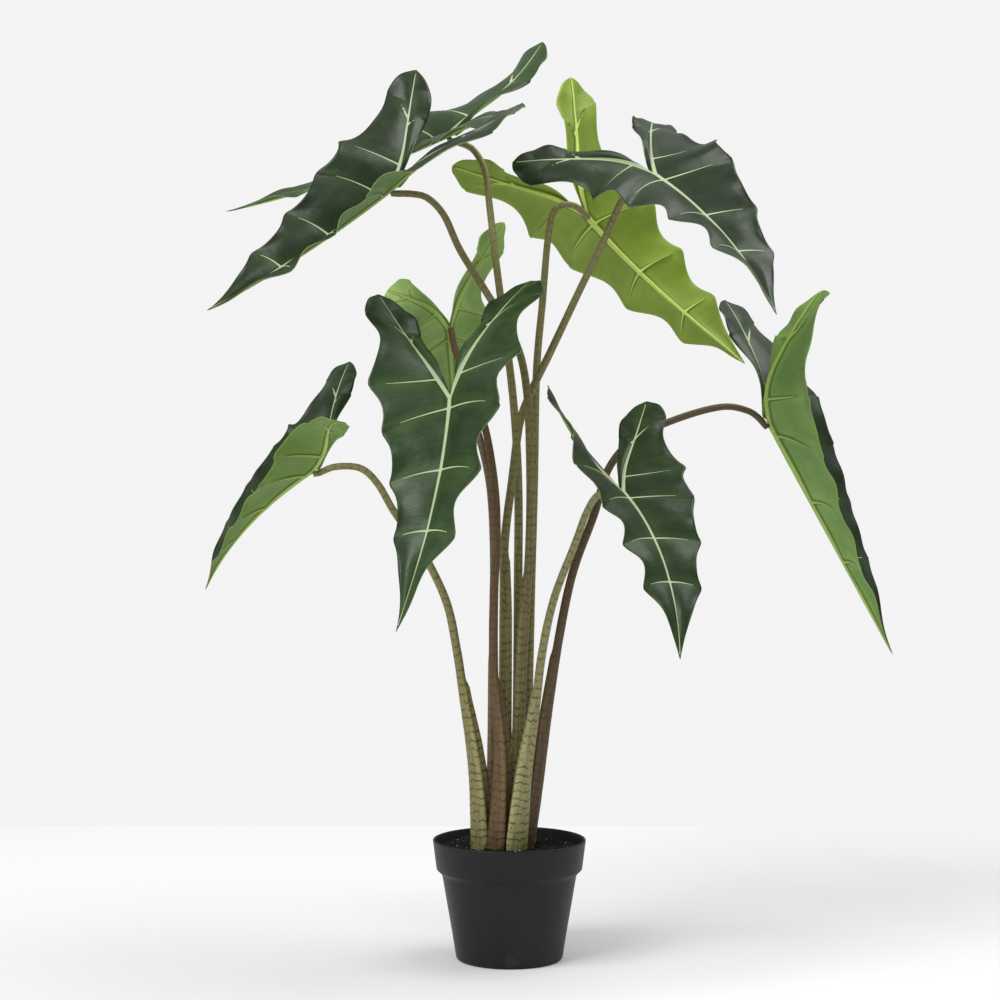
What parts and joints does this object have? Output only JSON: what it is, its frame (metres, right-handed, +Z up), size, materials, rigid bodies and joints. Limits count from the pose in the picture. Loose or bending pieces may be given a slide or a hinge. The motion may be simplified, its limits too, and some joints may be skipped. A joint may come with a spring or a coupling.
{
  "type": "potted alocasia",
  "caption": "Tall potted foliage plant with arrow-shaped, scalloped, pale-veined leaves on long curved stalks, standing in a plain round nursery pot.",
  "frame": {"origin": "centre of the pot's flat underside, on the surface that the pot stands on", "axes": "+Z up, along the pot axis and the height of the plant; +X to the right and +Y to the back, seen from the front"},
  "size_m": [0.7882, 0.4529, 1.0568],
  "materials": {
    "pot": "matte moulded charcoal plastic",
    "soil": null,
    "rhizome": "rough brown rootstock",
    "leaf_left_high": null,
    "stalk_left_high": null,
    "leaf_back_left": null,
    "stalk_back_left": null,
    "leaf_back_right": null,
    "stalk_back_right": null,
    "leaf_right_high": null,
    "stalk_right_high": null,
    "leaf_front": null,
    "stalk_front": null,
    "leaf_middle": null,
    "stalk_middle": null,
    "leaf_left_low": null,
    "stalk_left_low": null,
    "leaf_right_low": null,
    "stalk_right_low": null,
    "leaf_far_right": null,
    "stalk_far_right": null
  },
  "bodies": {
    "root": {"pot": "pot", "soil": "soil", "rhizome": "rhizome", "leaf_left_high": "leaf_left_high", "leaf_back_left": "leaf_back_left", "leaf_back_right": "leaf_back_right", "leaf_right_high": "leaf_right_high", "leaf_front": "leaf_front", "leaf_middle": "leaf_middle", "leaf_left_low": "leaf_left_low", "leaf_right_low": "leaf_right_low", "leaf_far_right": "leaf_far_right", "stalk_left_high": "stalk_left_high", "stalk_back_left": "stalk_back_left", "stalk_back_right": "stalk_back_right", "stalk_right_high": "stalk_right_high", "stalk_front": "stalk_front", "stalk_middle": "stalk_middle", "stalk_left_low": "stalk_left_low", "stalk_right_low": "stalk_right_low", "stalk_far_right": "stalk_far_right"}
  },
  "joints": []
}
